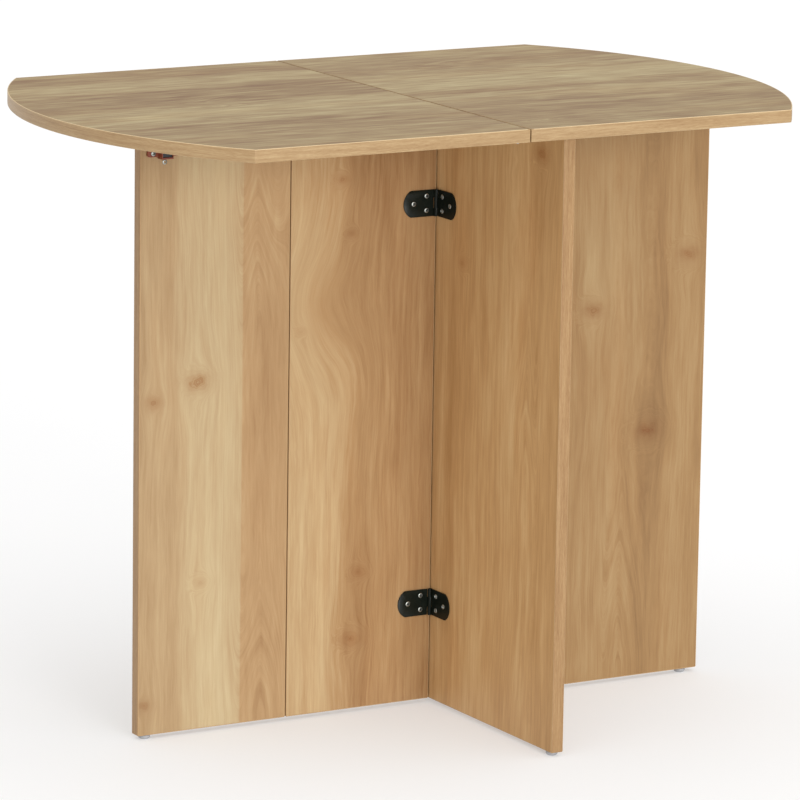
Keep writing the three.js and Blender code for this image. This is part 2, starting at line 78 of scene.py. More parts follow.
SHEET = 1.2 * MM                # hinge sheet metal
SHEET_ROUND = 0.12 * MM         # radius of its edges
CORNER_KNUCKLE = 2.4 * MM       # outer radius of the corner hinges' knuckles
FLAT_KNUCKLE = 2.7 * MM         # and of the other hinges'
MIDDLE_KNUCKLE = 0.39           # part of a hinge's height that its middle knuckle takes
KNUCKLE_PLAY = 0.15 * MM        # half the gap between neighbouring knuckles
NOTCH_ROOM = 0.5 * MM           # between a knuckle and the leaf it passes through
ROLL = 285.0                    # degrees that the sheet turns round the pin
ROLL_STEPS = 22
HINGE_END_BOW = 9.5 * MM
HINGE_FILLET = 5.0 * MM
PLATE_CORNER = 2.0 * MM         # plan radius of the corners of bare hinge leaves and the strike plate
CORNER_SCREWS = [(12.0 * MM, 8.6 * MM), (12.0 * MM, -8.6 * MM), (29.5 * MM, 0.0)]
BUTT_SCREWS = [(9.0 * MM, 18.0 * MM), (15.5 * MM, 0.0), (9.0 * MM, -18.0 * MM)]

SCREW_HEAD = 3.0 * MM           # screw head radius
SCREW_DOME_SHARE = 0.7 / 3      # height of the dome, as a share of the head's radius
SCREW_DEPTH = 11.0 * MM
THREAD_PITCH = 1.3 * MM
SCREW_TURN = 0.83               # radians: a screw is turned by this times the number of objects so far
PLATE_SCREW_HEAD = 1.7 * MM
PLATE_SCREW_PLACE = 0.32        # from the middle of the strike plate, as a share of its width

BRACKET_SHEET = 1.8 * MM
BRACKET_END_CORNER = 4.0 * MM
BRACKET_SCREWS = (12.0 * MM, 24.0 * MM)     # along each leg, from the corner

CATCH_BLOCK = 15.0 * MM         # width of the catch's middle block
CATCH_FLANGE_SHEET = 3.0 * MM
CATCH_FLANGE_HEIGHT = 26.0 * MM
CATCH_FLANGE_LIFT = 2.0 * MM    # how far the flange stops above the block's lower end
CATCH_FLANGE_CORNER = 3.0 * MM
CATCH_WINDOW_DEPTH = 2.0 * MM   # of the window in the block's face
CATCH_WALL = 1.1 * MM           # beside the window
CATCH_SILL = 1.7 * MM           # below it
CATCH_LINTEL = 2.0 * MM         # above it
CLEAR = 0.3 * MM                # working clearance between touching pieces

X = Vector((1, 0, 0))
Y = Vector((0, 1, 0))
Z = Vector((0, 0, 1))

CAMERA_PLACE = (-3.1583, -5.4619, 1.6815)
CAMERA_YAW = 30.099             # degrees to the right of +Y
CAMERA_PITCH = 11.664           # degrees down
CAMERA_ROLL = 0.852
CAMERA_LENS = 245.04

WORLD_STRENGTH = 0.5
FLOOR_RADIUS = 40.0
FLOOR_GLOW = 0.4                # the floor is lit from below as well, so shadows on it stay pale
# name, strength, apparent size, height above the horizon, heading (0 shines along +Y, + turns to -X)
SUNS = [
    ("key", 2.1, 26.0, 6.0, -3.0),
    ("left_fill", 0.24, 60.0, 6.0, -80.0),
    ("overhead", 1.75, 90.0, 80.0, 0.0),
]


# ---------- mesh helpers

def make_object(name, mesh):
    piece = bpy.data.objects.new(name, mesh)
    bpy.context.scene.collection.objects.link(piece)
    return piece


def mark_sharp(bm, degrees):
    limit = math.radians(degrees)
    for face in bm.faces:
        face.smooth = True
    for edge in bm.edges:
        edge.smooth = len(edge.link_faces) == 2 and edge.calc_face_angle(0.0) < limit


def solid(name, bm, sharp_degrees=30.0):
    """Makes an object of a bmesh, which is used up. It is smooth but for its sharp edges."""
    bmesh.ops.recalc_face_normals(bm, faces=bm.faces)
    mark_sharp(bm, sharp_degrees)
    mesh = bpy.data.meshes.new(name)
    bm.to_mesh(mesh)
    bm.free()
    return make_object(name, mesh)


def rectangle(x0, y0, x1, y1):
    return [(x0, y0), (x1, y0), (x1, y1), (x0, y1)]


def circle_points(x, y, radius, steps=24):
    angles = [2 * math.pi * i / steps for i in range(steps)]
    return [(x + radius * math.cos(a), y + radius * math.sin(a)) for a in angles]


def loft(bm, rings):
    """Adds quads from each closed ring of points to the next, and a face on the first and last."""
    rows = [[bm.verts.new(p) for p in ring] for ring in rings]
    for low, high in zip(rows, rows[1:]):
        for i in range(len(low)):
            j = (i + 1) % len(low)
            bm.faces.new((low[i], low[j], high[j], high[i]))
    bm.faces.new(rows[0])
    bm.faces.new(rows[-1])


def lathe_bmesh(profile, steps):
    """A solid of revolution about +Z from (radius, z) points that start and end on the axis."""
    bm = bmesh.new()
    rings = []
    for radius, z in profile:
        ring = circle_points(0, 0, radius, steps) if radius > 0 else [(0, 0)]
        rings.append([bm.verts.new((x, y, z)) for x, y in ring])
    for low, high in zip(rings, rings[1:]):
        for i in range(steps):
            j = (i + 1) % steps
            corners = [low[i % len(low)], low[j % len(low)], high[j % len(high)], high[i % len(high)]]
            unique = list(dict.fromkeys(corners))
            if len(unique) > 2:
                bm.faces.new(unique)
    return bm


def rounded_corners(points, radius_at):
    """Replaces each real corner of a closed 2-D outline by an arc of radius_at(x, y)."""
    steps = 6
    out = []
    count = len(points)
    for i, point in enumerate(points):
        here = Vector(point)
        back = (Vector(points[i - 1]) - here).normalized()
        ahead = (Vector(points[(i + 1) % count]) - here).normalized()
        inside = back.angle(ahead)
        radius = radius_at(*point)
        if math.pi - inside < math.radians(15) or radius <= 0:
            out.append(here)
            continue
        reach = radius / math.tan(inside / 2)
        centre = here + (back + ahead).normalized() * (radius / math.sin(inside / 2))
        start = here + back * reach - centre
        sweep = math.pi - inside
        turn = 1 if back.x * ahead.y - back.y * ahead.x < 0 else -1
        for k in range(steps + 1):
            angle = turn * sweep * k / steps
            c, s = math.cos(angle), math.sin(angle)
            out.append(centre + Vector((start.x * c - start.y * s, start.x * s + start.y * c)))
    return out


def inset_outline(points, inset):
    """Moves a counter-clockwise closed outline inwards."""
    out = []
    count = len(points)
    for i, here in enumerate(points):
        back = (here - points[i - 1]).normalized()
        ahead = (points[(i + 1) % count] - here).normalized()
        normal_back = Vector((-back.y, back.x))
        normal_ahead = Vector((-ahead.y, ahead.x))
        middle = (normal_back + normal_ahead).normalized()
        out.append(here + middle * (inset / max(0.2, middle.dot(normal_back))))
    return out


def plate_bmesh(outline, holes, thickness):
    """A flat plate in the XY plane, from z = 0 up, with its outline and holes as lists of 2-D points."""
    bm = bmesh.new()
    edges = []
    for ring in [outline, *holes]:
        verts = [bm.verts.new((p[0], p[1], 0)) for p in ring]
        edges += [bm.edges.new((verts[i - 1], verts[i])) for i in range(len(verts))]
    bmesh.ops.triangle_fill(bm, use_beauty=True, use_dissolve=False, edges=edges)
    bottom = list(bm.faces)
    grown = bmesh.ops.extrude_face_region(bm, geom=bottom)
    top = [v for v in grown["geom"] if isinstance(v, bmesh.types.BMVert)]
    bmesh.ops.translate(bm, verts=top, vec=(0, 0, thickness))
    bmesh.ops.recalc_face_normals(bm, faces=bm.faces)
    return bm


def applied(piece):
    """Turns an object's modifiers into its mesh."""
    depsgraph = bpy.context.evaluated_depsgraph_get()
    mesh = bpy.data.meshes.new_from_object(piece.evaluated_get(depsgraph))
    piece.modifiers.clear()
    piece.data = mesh
    return piece


def boolean(piece, others, operation):
    """Joins others to a piece, or cuts them out of it. They are used up."""
    for other in others:
        step = piece.modifiers.new("join", "BOOLEAN")
        step.operation = operation
        step.solver = "EXACT"
        step.object = other
        applied(piece)
        bpy.data.objects.remove(other)


def shaded(piece, sharp_degrees=40.0):
    """Smooth shading that leaves flat faces flat."""
    bm = bmesh.new()
    bm.from_mesh(piece.data)
    mark_sharp(bm, sharp_degrees)
    bm.to_mesh(piece.data)
    bm.free()
    step = piece.modifiers.new("normals", "WEIGHTED_NORMAL")
    step.keep_sharp = True
    return applied(piece)


def bevelled(piece, width, degrees=50.0, segments=2):
    step = piece.modifiers.new("bevel", "BEVEL")
    step.width = width
    step.segments = segments
    step.limit_method = "ANGLE"
    step.angle_limit = math.radians(degrees)
    applied(piece)
    return shaded(piece)


def axes_matrix(origin, x_axis, y_axis, z_axis):
    """The matrix that lays a piece's own axes along three directions of the frame."""
    matrix = Matrix((x_axis, y_axis, z_axis)).transposed().to_4x4()
    matrix.translation = origin
    return matrix


def lay(piece, matrix):
    """Moves a piece's mesh into the frame. The object itself stays at the origin."""
    piece.data.transform(matrix)
    if matrix.is_negative:
        piece.data.flip_normals()


def box_middle(node):
    low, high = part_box(node)
    return (low + high) / 2


def body_of(node):
    for body, nodes in frame["record"]["behaviour"]["bodies"].items():
        if node in nodes:
            return body
    raise KeyError(node)


def attach(piece, material, body):
    """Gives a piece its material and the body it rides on."""
    piece.data.materials.clear()
    piece.data.materials.append(material)
    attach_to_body(piece, body)


def stand_for(piece, material, node):
    """The same for a piece that takes the place of a CAD node."""
    attach(piece, material, body_of(node))
    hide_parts(node)


# ---------- node helpers

class Graph:
    """Short calls for building a material's node tree."""

    def __init__(self, name):
        self.material = bpy.data.materials.new(name)
        self.material.use_nodes = True
        self.tree = self.material.node_tree
        self.tree.nodes.clear()
        output = self.tree.nodes.new("ShaderNodeOutputMaterial")
        self.shader = self.tree.nodes.new("ShaderNodeBsdfPrincipled")
        self.tree.links.new(self.shader.outputs[0], output.inputs[0])

    def put(self, socket, value):
        if isinstance(value, bpy.types.NodeSocket):
            self.tree.links.new(value, socket)
        else:
            socket.default_value = value

    def surface(self, colour, roughness, gloss=0.5, metallic=0.0):
        """The look of the material. gloss is the strength of a plain reflection."""
        inputs = self.shader.inputs
        self.put(inputs["Base Color"], colour)
        self.put(inputs["Roughness"], roughness)
        inputs["Specular IOR Level"].default_value = gloss
        inputs["Metallic"].default_value = metallic

    def math(self, operation, a, b=0.0, clamp=False):
        node = self.tree.nodes.new("ShaderNodeMath")
        node.operation = operation
        node.use_clamp = clamp
        for socket, value in zip(node.inputs, (a, b)):
            self.put(socket, value)
        return node.outputs[0]

    def add(self, a, b):
        return self.math("ADD", a, b)

    def mul(self, a, b):
        return self.math("MULTIPLY", a, b)

    def sub(self, a, b):
        return self.math("SUBTRACT", a, b)

    def total(self, *values):
        result = values[0]
        for value in values[1:]:
            result = self.add(result, value)
        return result

    def vector(self, x, y, z):
        node = self.tree.nodes.new("ShaderNodeCombineXYZ")
        for socket, value in zip(node.inputs, (x, y, z)):
            self.put(socket, value)
        return node.outputs[0]

    def noise(self, vector, scale, detail, roughness):
        node = self.tree.nodes.new("ShaderNodeTexNoise")
        node.noise_dimensions = "3D"
        self.put(node.inputs["Vector"], vector)
        node.inputs["Scale"].default_value = scale
        node.inputs["Detail"].default_value = detail
        node.inputs["Roughness"].default_value = roughness
        return node.outputs[0]

    def axes(self, space="Object"):
        """Coordinates in metres, as three values."""
        place = self.tree.nodes.new("ShaderNodeTexCoord")
        split = self.tree.nodes.new("ShaderNodeSeparateXYZ")
        self.tree.links.new(place.outputs[space], split.inputs[0])
        return tuple(split.outputs)

    def curve(self, value, stops):
        """A smooth function of value through (position, height) stops, all from 0 to 1."""
        return self.colours(value, [(place, (height,) * 3) for place, height in stops], "CARDINAL")

    def colours(self, value, stops, interpolation="LINEAR"):
        """The colour for a value from 0 to 1, through (position, colour) stops."""
        node = self.tree.nodes.new("ShaderNodeValToRGB")
        ramp = node.color_ramp
        ramp.interpolation = interpolation
        while len(ramp.elements) < len(stops):
            ramp.elements.new(0.5)
        for element, (position, colour) in zip(ramp.elements, stops):
            element.position = position
            element.color = (*colour, 1)
        self.put(node.inputs[0], value)
        return node.outputs[0]

    def mix(self, share, a, b, blend="MIX"):
        node = self.tree.nodes.new("ShaderNodeMix")
        node.data_type = "RGBA"
        node.blend_type = blend
        self.put(node.inputs[0], share)
        for socket, value in zip((node.inputs[6], node.inputs[7]), (a, b)):
            self.put(socket, (*value, 1) if isinstance(value, tuple) else value)
        return node.outputs[2]

    def bump(self, height, strength, distance):
        node = self.tree.nodes.new("ShaderNodeBump")
        node.inputs["Strength"].default_value = strength
        node.inputs["Distance"].default_value = distance
        self.put(node.inputs["Height"], height)
        self.tree.links.new(node.outputs[0], self.shader.inputs["Normal"])


def linear(red, green, blue):
    """An sRGB colour from 0 to 255 as the linear values that nodes use."""
    def channel(value):
        value /= 255
        return value / 12.92 if value <= 0.04045 else ((value + 0.055) / 1.055) ** 2.4
    return channel(red), channel(green), channel(blue)


def shades(*colours):
    return tuple(linear(*colour) for colour in colours)


# ---------- the prints' directions and colours

UPRIGHT_X = (0, 2, 1)           # grain up: the object axes across, along and through the board
UPRIGHT_Y = (1, 2, 0)
LENGTHWAYS = (1, 0, 2)

# dark, middle and light, and for a band the colour of the painted highlight on its arrises
LIGHT_PALETTE = shades((147, 115, 78), (174, 146, 108), (193, 174, 136))
MIDDLE_PALETTE = shades((137, 97, 57), (170, 135, 93), (195, 170, 129))
CENTRE_PALETTE = shades((157, 114, 66), (194, 154, 105), (221, 192, 144))
SPINE_PALETTE = shades((124, 91, 55), (155, 121, 79), (176, 148, 106))
TOP_PALETTE = shades((122, 90, 66), (159, 136, 101), (191, 176, 135))
TOP_BAND_PALETTE = shades((140, 108, 72), (167, 137, 98), (190, 164, 124), (222, 198, 156))
PANEL_BAND_PALETTE = shades((132, 96, 60), (160, 125, 85), (182, 150, 108), (190, 158, 116))
ROSY_TINT = (1.0, 0.92, 0.85)
KNOT_TINT = (0.68, 0.48, 0.34)
WOOD_GLOSS = 0.3
TOP_GLOSS = 0.2
ARCH_TIP = 3.0                  # how blunt the points of flat-sawn arches are, in millimetres of print
BEND_CALM = 0.014               # how far a bend weakens the streaks, for each millimetre of its push
BACK_LAYER = 17.0               # how far off in the noise the back's print lies
BACK_SHIFT = 0.37               # and how far to the side, as a share of the width


# ---------- materials

class Print(Graph):
    """The fields that a printed board's grain is drawn from, for one CAD node.

    axes are the object axes that run across, along and through the board. Places and sizes are in
    millimetres from the low corner of the node's box. The board's back has another part of the print.
    """

    def __init__(self, node, axes, seed):
        super().__init__(f"print_{node}")
        low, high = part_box(node)
        across, along, through = axes
        place = self.axes()
        self.width = (high[across] - low[across]) / MM
        away = "LESS_THAN" if axes == LENGTHWAYS else "GREATER_THAN"
        back = self.math(away, place[through], (low[through] + high[through]) / 2)
        self.layer = self.add(self.mul(back, BACK_LAYER), seed)
        shift = self.mul(back, self.width * BACK_SHIFT)
        self.across = self.add(self.gap(place[across], low[across], MM), shift)
        self.along = self.gap(place[along], low[along], MM)
        self.flow = self.total(
            self.across,
            self.mul(self.grain(self.across, 250.0, 600.0), 40.0),
            self.mul(self.grain(self.across, 60.0, 110.0), 6.0),
        )
        self.calm = 1.0
        self.figure = 0.0
        self.cores = []

    def gap(self, value, centre, size):
        return self.mul(self.sub(value, centre), 1 / size)

    def hill(self, *gaps):
        """1 where all the gaps are 0, falling to nothing past 1."""
        return self.math("EXPONENT", self.mul(self.total(*(self.mul(d, d) for d in gaps)), -1.0))

    def grain(self, lines, across_size, along_size, detail=2.0, roughness=0.55):
        """Noise from -0.5 to 0.5, stretched to a size across and along."""
        x, y = self.mul(lines, 1 / across_size), self.mul(self.along, 1 / along_size)
        return self.sub(self.noise(self.vector(x, y, self.layer), 1.0, detail, roughness), 0.5)

    def spot(self, lines, across, along, half_width, half_length):
        """1 at a place on the print, falling to nothing past its size."""
        return self.hill(self.gap(lines, across, half_width), self.gap(self.along, along, half_length))

    def bend(self, across, along, half_width, half_length, shift):
        """Pushes the grain sideways, and calms it there."""
        push = self.spot(self.across, across, along, half_width, half_length)
        self.flow = self.add(self.flow, self.mul(push, shift))
        self.calm = self.sub(self.calm, self.mul(push, abs(shift) * BEND_CALM))

    def knot(self, across, along, size, strength):
        """Parts the grain round a knot. What its rings and colour need is kept for later."""
        aside = self.gap(self.across, across, size)
        ahead = self.gap(self.along, along, size)
        reach = self.hill(self.mul(aside, 0.45), self.mul(ahead, 0.25))
        self.flow = self.add(self.flow, self.mul(self.mul(aside, reach), -size * 0.75))
        uneven = self.mul(self.grain(self.across, 9.0, 12.0), 1.1)
        squares = self.add(self.mul(self.mul(aside, aside), 0.5), self.mul(ahead, ahead))
        radius = self.math("MAXIMUM", self.add(self.math("SQRT", squares), uneven), 0.0)
        halo, heart = self.hill(self.mul(radius, 0.9)), self.hill(self.mul(radius, 2.0))
        self.cores.append((self.mul(radius, size * 1.1), halo, heart, strength))

    def arch(self, across, half_width, climbs):
        """How far rings are folded about a line up the board, and closed into points at each climb."""
        aside = self.sub(self.flow, across)
        beside = self.math("POWER", self.math("ABSOLUTE", self.mul(aside, 1 / half_width)), 4.0)
        inside = self.math("EXPONENT", self.mul(beside, -1.0))
        fold = self.sub(self.math("SQRT", self.add(self.mul(aside, aside), ARCH_TIP ** 2)), aside)
        for along, half_length, rise in climbs:
            ahead = self.gap(self.along, along, half_length)
            fold = self.add(fold, self.mul(self.math("TANH", ahead), rise))
            self.figure = self.add(self.figure, self.mul(inside, self.hill(ahead)))
        return self.mul(inside, fold)

    def rings(self, arches):
        """The grain as the rings follow it: folded at arches, laid round knots and roughened a little."""
        ringed = self.flow
        for arch in arches:
            ringed = self.add(ringed, self.arch(*arch))
        for radius, halo, _, strength in self.cores:
            ringed = self.add(self.mul(radius, halo), self.mul(ringed, self.sub(1.0, halo)))
            self.figure = self.add(self.figure, self.mul(halo, strength * 1.6))
        return self.add(ringed, self.mul(self.grain(ringed, 18.0, 30.0), 5.0))


def wood_print(node, axes, tone, seed, palette, dashes=0.0, bends=(), planks=(), patches=(), knots=(),
               arches=()):
    """Printed oak for the board of a CAD node.

      tone: the broad light and dark across the board, as (share of the width, lightness)
      palette: dark, middle and light colours
      dashes: the strength of its short streaks
      bends: (across, along, half width, half length, shift), where the grain is pushed sideways
      planks: (across, lift, rosiness), a crisp line where the look of the wood changes
      patches: (across, along, half width, half length, lift), lighter or darker places
      knots: (across, along, size, strength)
      arches: (across, half width, climbs), flat-sawn figure, with climbs as (along, half length, rise)
    """
    g = Print(node, axes, seed)
    for bend in bends:
        g.bend(*bend)
    for knot in knots:
        g.knot(*knot)
    ringed = g.rings(arches)

    lift = g.sub(g.curve(g.mul(g.flow, 1 / g.width), tone), 0.5)
    rosy = g.mul(g.math("MULTIPLY", g.grain(g.flow, 60.0, 420.0), 4.0, clamp=True), 0.6)
    for across, amount, rosiness in planks:
        beyond = g.math("MULTIPLY", g.sub(g.across, across), 0.7, clamp=True)
        lift = g.add(lift, g.mul(beyond, amount))
        rosy = g.add(rosy, g.mul(beyond, rosiness))
    for *place, amount in patches:
        lift = g.add(lift, g.mul(g.spot(g.flow, *place), amount))
    rings = g.grain(ringed, 4.5, 260.0, 2.0, 0.6)
    fibres = g.grain(ringed, 1.8, 70.0, 3.0, 0.6)
    pores = g.grain(ringed, 0.4, 16.0, 1.0)
    streaks = g.total(
        g.mul(g.grain(g.flow, 20.0, 500.0, 3.0), 0.36),
        g.mul(g.grain(g.flow, 14.0, 110.0, 3.0), 0.36),
        g.mul(g.grain(g.flow, 5.0, 60.0, 3.0), 0.38),
    )
    lightness = g.total(
        0.5,
        lift,
        g.mul(g.grain(g.flow, 70.0, 420.0, 3.0), 0.30),
        g.mul(streaks, g.calm),
        g.mul(g.grain(g.flow, 6.5, 60.0, 2.0), dashes),
        g.mul(g.mul(rings, g.calm), g.add(0.34, g.mul(g.figure, 0.3))),
        g.mul(g.mul(g.grain(ringed, 10.0, 260.0), g.figure), 0.5),
        g.mul(g.mul(fibres, g.calm), 0.44),
        g.mul(pores, 0.16),
    )
    dark, mid, light = palette
    colour = g.colours(lightness, [(0.0, dark), (0.5, mid), (1.0, light)])
    colour = g.mix(rosy, colour, g.mix(1.0, colour, ROSY_TINT, "MULTIPLY"))
    for _, halo, heart, strength in g.cores:
        speckle = g.add(0.62, g.mul(g.add(rings, fibres), 1.8))
        share = g.mul(g.mul(g.add(g.mul(heart, 0.6), halo), speckle), strength)
        colour = g.mix(share, colour, g.mix(1.0, colour, KNOT_TINT, "MULTIPLY"))
    gloss = TOP_GLOSS if axes == LENGTHWAYS else WOOD_GLOSS
    g.surface(colour, g.add(0.5, g.mul(fibres, 0.12)), gloss)
    g.bump(g.add(g.mul(fibres, 0.6), g.mul(pores, 0.4)), 0.2, 0.0002)
    return g.material


def band_material(name, seed, palette):
    """Wood-print edge band: fine grain along the strip, and a painted highlight on its long arrises.

    UVs are metres along and round the strip. palette gives dark, middle, light and painted arris highlight
    colours.
    """
    g = Graph(name)
    along, around, _ = g.axes("UV")
    soft = g.noise(g.vector(g.mul(along, 7.0), g.mul(around, 260.0), seed), 1.0, 2.0, 0.5)
    fibres = g.noise(g.vector(g.mul(along, 45.0), g.mul(around, 900.0), seed), 1.0, 3.0, 0.65)
    flecks = g.noise(g.vector(g.mul(along, 160.0), g.mul(around, 1500.0), seed + 4), 1.0, 2.0, 0.5)
    value = g.total(
        0.5,
        g.mul(g.sub(soft, 0.5), 0.9),
        g.mul(g.sub(fibres, 0.5), 1.0),
        g.mul(g.sub(flecks, 0.5), 0.6),
    )
    dark, mid, light, arris_highlight = palette
    colour = g.colours(value, [(0.0, dark), (0.5, mid), (1.0, light)])
    # painted highlight: the long arrises are made paler, the upper one more than the lower, but not within
    # 4 mm of the top's seam
    upper = g.math("MULTIPLY", g.sub(ARRIS_HIGHLIGHT_WIDTH, around), 1500.0, clamp=True)
    lower = g.math("MULTIPLY", g.sub(around, BOARD + ARRIS_HIGHLIGHT_WIDTH / 4), 1500.0, clamp=True)
    highlight_off_seam = g.math("GREATER_THAN", g.math("ABSOLUTE", g.axes()[0]), 4 * MM)
    colour = g.mix(g.mul(g.total(g.mul(upper, 0.9), g.mul(lower, 0.7)), highlight_off_seam), colour, arris_highlight)
    g.surface(colour, g.add(0.42, g.mul(g.sub(fibres, 0.5), 0.1)), WOOD_GLOSS)
    g.bump(fibres, 0.2, 0.0002)
    return g.material


def black_paint():
    g = Graph("black_paint")
    place = g.vector(*g.axes())
    peel = g.noise(place, 900.0, 2.0, 0.5)
    scuff = g.noise(place, 140.0, 3.0, 0.6)
    colour = g.mix(scuff, linear(14, 18, 13), linear(23, 28, 22))
    g.surface(colour, g.add(0.28, g.mul(scuff, 0.14)), 0.16)
    g.bump(peel, 0.12, 0.0001)
    return g.material


def metal(name, colour, roughness, seed):
    g = Graph(name)
    x, y, z = g.axes()
    cloud = g.noise(g.vector(g.add(x, seed), y, z), 220.0, 3.0, 0.6)
    scratch = g.noise(g.vector(g.mul(x, 400.0), g.mul(y, 3000.0), g.mul(z, 1200.0)), 1.0, 2.0, 0.5)
    dull = tuple(c * 0.72 for c in colour)
    rough = g.total(roughness - 0.1, g.mul(cloud, 0.14), g.mul(scratch, 0.08))
    g.surface(g.mix(cloud, dull, colour), rough, metallic=1.0)
    g.bump(scratch, 0.06, 0.0001)
    return g.material


def plastic(name, dark, light, roughness, scale):
    g = Graph(name)
    place = g.vector(*g.axes())
    cloud = g.noise(place, scale, 3.0, 0.55)
    grain = g.noise(place, 2600.0, 2.0, 0.5)
    g.surface(g.mix(cloud, dark, light), g.add(roughness - 0.05, g.mul(cloud, 0.1)))
    g.bump(grain, 0.1, 0.0001)
    return g.material


# ---------- boards

def ring_strip(name, loops, lengths):
    """A closed ring of quads through closed loops of points; UVs are metres along and round it."""
    bm = bmesh.new()
    uv = bm.loops.layers.uv.new("UVMap")
    rows = [[bm.verts.new(p) for p in loop] for loop in loops]
    count = len(rows[0])
    around = [0.0]
    for a, b in zip(loops, loops[1:] + loops[:1]):
        around.append(around[-1] + (Vector(a[0]) - Vector(b[0])).length)
    for r in range(len(rows)):
        low, high = rows[r], rows[(r + 1) % len(rows)]
        for i in range(count):
            j = (i + 1) % count
            face = bm.faces.new((low[i], low[j], high[j], high[i]))
            face.smooth = True
            places = ((lengths[i], around[r]), (lengths[i + 1], around[r]),
                      (lengths[i + 1], around[r + 1]), (lengths[i], around[r + 1]))
            for corner, place in zip(face.loops, places):
                corner[uv].uv = place
    return solid(name, bm, 40.0)


def band_profile(thickness):
    """(inset, height) points round the section of an edge band, from its inner top edge outwards."""
    steps = 5
    points = [(BAND, thickness - BAND_GROOVE), (BAND - BAND_GROOVE, thickness)]
    for k in range(steps + 1):
        angle = math.pi / 2 * k / steps
        points.append((BAND_ROUND * (1 - math.sin(angle)), thickness - BAND_ROUND * (1 - math.cos(angle))))
    for k in range(steps + 1):
        angle = math.pi / 2 * k / steps
        points.append((BAND_ROUND * (1 - math.cos(angle)), BAND_ROUND * (1 - math.sin(angle))))
    points += [(BAND - BAND_GROOVE, 0.0), (BAND, BAND_GROOVE)]
    return points


def build_board(nodes, outline, thickness, place, materials):
    """A printed board and its edge band. nodes and materials are pairs, for the board and the band.

    outline is a counter-clockwise list of 2-D points, and place turns (across, up, through) into a point
    of the frame.
    """
    node, band_node = nodes
    face_material, band_look = materials

    def ring(inset, height):
        return [place(p.x, p.y, height) for p in inset_outline(outline, inset)]

    outer = BAND + BAND_GROOVE
    section = [(outer, 0.0), (BAND, BAND_GROOVE), (BAND, thickness - BAND_GROOVE), (outer, thickness)]
    bm = bmesh.new()
    loft(bm, [ring(inset, height) for inset, height in section])
    core = solid(f"{node}_board", bm, 20.0)
    stand_for(core, face_material, node)

    lengths = [0.0]
    for here, ahead in zip(outline, outline[1:] + outline[:1]):
        lengths.append(lengths[-1] + (ahead - here).length)
    loops = [ring(inset, height) for inset, height in band_profile(thickness)]
    band = ring_strip(f"{band_node}_strip", loops, lengths)
    stand_for(band, band_look, band_node)


def panel(node, band_node, thin_axis, face_material):
    """An upright board, placed by the box of its edge band. thin_axis is 0 for X and 1 for Y."""
    low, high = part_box(band_node)
    wide_axis = 1 - thin_axis
    face = rectangle(low[wide_axis], low.z, high[wide_axis], high.z)
    outline = rounded_corners(face, lambda x, y: CORNER_ROUND)

    def place(across, up, through):
        point = [0.0, 0.0, up]
        point[wide_axis] = across
        point[thin_axis] = low[thin_axis] + through
        return Vector(point)

    thickness = high[thin_axis] - low[thin_axis]
    build_board((node, band_node), outline, thickness, place, (face_material, PANEL_BAND))


def half_top(node, band_node, face_material):
    """One half of the top: straight sides, a square seam edge, and a bowed end of one radius."""
    low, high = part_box(band_node)
    side = 1 if high.x > -low.x else -1
    seam = low.x if side > 0 else high.x
    tip = high.x if side > 0 else low.x
    half = high.y
    radius = (half ** 2 + END_BOW ** 2) / (2 * END_BOW)
    centre = tip - side * radius
    spread = math.asin(half / radius)
    corners = [(seam, -side * half)]
    for k in range(BOW_STEPS + 1):
        angle = -spread + 2 * spread * k / BOW_STEPS
        corners.append((centre + side * radius * math.cos(angle), side * radius * math.sin(angle)))
    corners.append((seam, side * half))

    def radius_at(x, y):
        return SEAM_CORNER_ROUND if abs(x - seam) < MM else BOW_CORNER_ROUND

    outline = rounded_corners(corners, radius_at)

    def place(x, y, height):
        return Vector((x, y, low.z + height))

    build_board((node, band_node), outline, high.z - low.z, place, (face_material, TOP_BAND))


# ---------- the six boards and their prints

